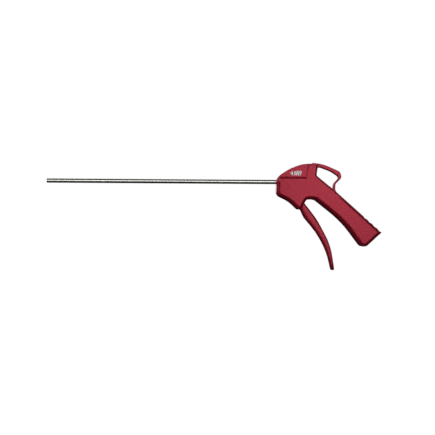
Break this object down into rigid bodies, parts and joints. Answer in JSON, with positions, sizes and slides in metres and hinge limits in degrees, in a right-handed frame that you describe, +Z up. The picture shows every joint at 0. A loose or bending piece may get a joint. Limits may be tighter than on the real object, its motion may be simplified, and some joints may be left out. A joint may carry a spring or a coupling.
{
  "type": "compressed air blow gun",
  "caption": "Pistol-grip air blow gun with a long straight nozzle tube, a curved squeeze lever and a hanging loop.",
  "frame": {"origin": "centre of the open end of the nozzle tube", "axes": "+X back along the nozzle tube to the handle, so that air leaves along -X; +Y across the handle; +Z up, away from the grip"},
  "size_m": [0.4671, 0.028, 0.15],
  "materials": {
    "red_nylon": "satin moulded nylon",
    "plated_tube": "nickel-plated, satin",
    "zinc_steel": "zinc plated",
    "brass": "turned",
    "nitrile": "matt",
    "clear_nylon": "natural nylon"
  },
  "bodies": {
    "handle": {"body_shell_left": "red_nylon", "body_shell_right": "red_nylon", "shell_screws": "zinc_steel", "lever_pin": "zinc_steel", "valve_block": "brass", "valve_cartridge": "brass", "cartridge_seal_front": "nitrile", "cartridge_seal_rear": "nitrile", "poppet_spring": "zinc_steel", "nozzle_tube": "plated_tube", "nozzle_adapter": "brass", "nozzle_seal": "nitrile", "air_tube": "clear_nylon", "air_tube_seal_upper": "nitrile", "air_tube_seal_lower": "nitrile", "inlet_insert": "brass"},
    "trigger": {"trigger_lever": "red_nylon"},
    "valve_plunger": {"valve_stem": "zinc_steel", "stem_seal": "nitrile", "poppet": "brass", "poppet_seal": "nitrile"}
  },
  "joints": [
    {"name": "trigger_squeeze", "type": "hinge", "parent": "handle", "child": "trigger", "pos_m": [0.3341, 0, -0.0086], "axis": [0, -1, 0], "range_deg": [0, 14], "stiffness_Nm_per_rad": 3, "springref_deg": -14.32},
    {"name": "plunger_slide", "type": "slide", "parent": "handle", "child": "valve_plunger", "axis": [0.7071, 0, 0.7071], "range_m": [0, 0.00303], "deforming": ["poppet_spring"]}
  ],
  "couplings": [
    {"joint": "plunger_slide", "follows": "trigger_squeeze", "m_per_rad": 0.01236}
  ]
}
